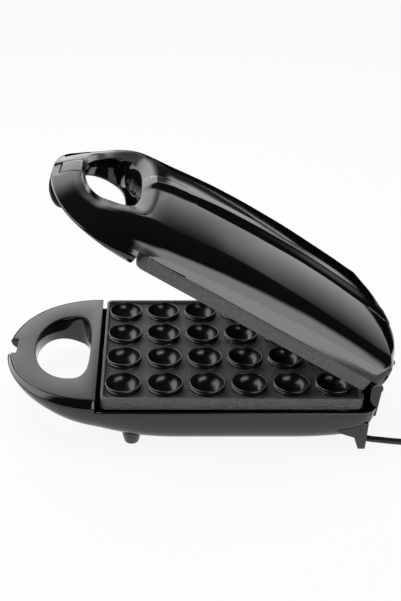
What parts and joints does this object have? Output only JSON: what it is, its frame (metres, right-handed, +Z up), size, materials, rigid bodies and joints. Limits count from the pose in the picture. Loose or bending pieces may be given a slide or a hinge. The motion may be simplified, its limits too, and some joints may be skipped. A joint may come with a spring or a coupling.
{
  "type": "walnut cookie maker",
  "caption": "Countertop cooker for walnut-shaped cookies: glossy clamshell with hinged lid, grid of round cups, looped handle with clip latch, short legs and a coiled mains lead.",
  "frame": {"origin": "on the floor under the middle of the cooker's own length and width, its lead left out", "axes": "+X from the handles to the hinge, +Y to the cooker's far side as pictured, +Z up"},
  "size_m": [0.5736, 0.203, 0.2453],
  "materials": {
    "gloss_black": "high gloss moulded plastic",
    "satin_black": "satin moulded plastic",
    "cover_grey": "satin dark grey moulded plastic",
    "coating_black": "cast plate with black non-stick coating",
    "sheet_aluminium": "plain rolled sheet",
    "steel": "plain steel",
    "cord_black": "soft matt cord plastic",
    "lens_red": "clear-coloured lens",
    "lens_green": "clear-coloured lens",
    "cream_plastic": "moulded terminal plastic"
  },
  "bodies": {
    "base": {"base_shell": "gloss_black", "front_foot_near": "satin_black", "front_foot_far": "satin_black", "rear_leg_near": "satin_black", "rear_leg_far": "satin_black", "cord_strain_relief": "satin_black", "base_handle_cover": "cover_grey", "lower_cooking_plate": "coating_black", "lower_heat_reflector": "sheet_aluminium", "thermostat": "sheet_aluminium", "base_cover_screw_1": "steel", "base_cover_screw_2": "steel", "base_cover_screw_3": "steel", "base_cover_screw_4": "steel", "lower_heating_element": "steel", "hinge_pin_near": "steel", "hinge_pin_far": "steel", "plug_pin_near": "steel", "plug_pin_far": "steel", "thermal_fuse": "steel", "power_cord": "cord_black", "cord_coil": "cord_black", "cord_tail": "cord_black", "cord_tie": "cord_black", "plug_body": "cord_black", "terminal_block": "cream_plastic"},
    "lid": {"lid_shell": "gloss_black", "lid_handle_cover": "cover_grey", "upper_cooking_plate": "coating_black", "upper_heat_reflector": "sheet_aluminium", "lid_cover_screw_1": "steel", "lid_cover_screw_2": "steel", "lid_cover_screw_3": "steel", "lid_cover_screw_4": "steel", "upper_heating_element": "steel", "indicator_lamp_red": "lens_red", "indicator_lamp_green": "lens_green", "latch_bridge": "gloss_black", "latch_pin": "steel"},
    "latch": {"latch_clip": "gloss_black"}
  },
  "joints": [
    {"name": "lid_hinge", "type": "hinge", "parent": "base", "child": "lid", "pos_m": [0.1629, 0, 0.0628], "axis": [0, 1, 0], "range_deg": [-31.3, 60]},
    {"name": "latch_pivot", "type": "hinge", "parent": "lid", "child": "latch", "pos_m": [-0.12825, 0, 0.23722], "axis": [0, 1, 0], "range_deg": [0, 60]}
  ]
}
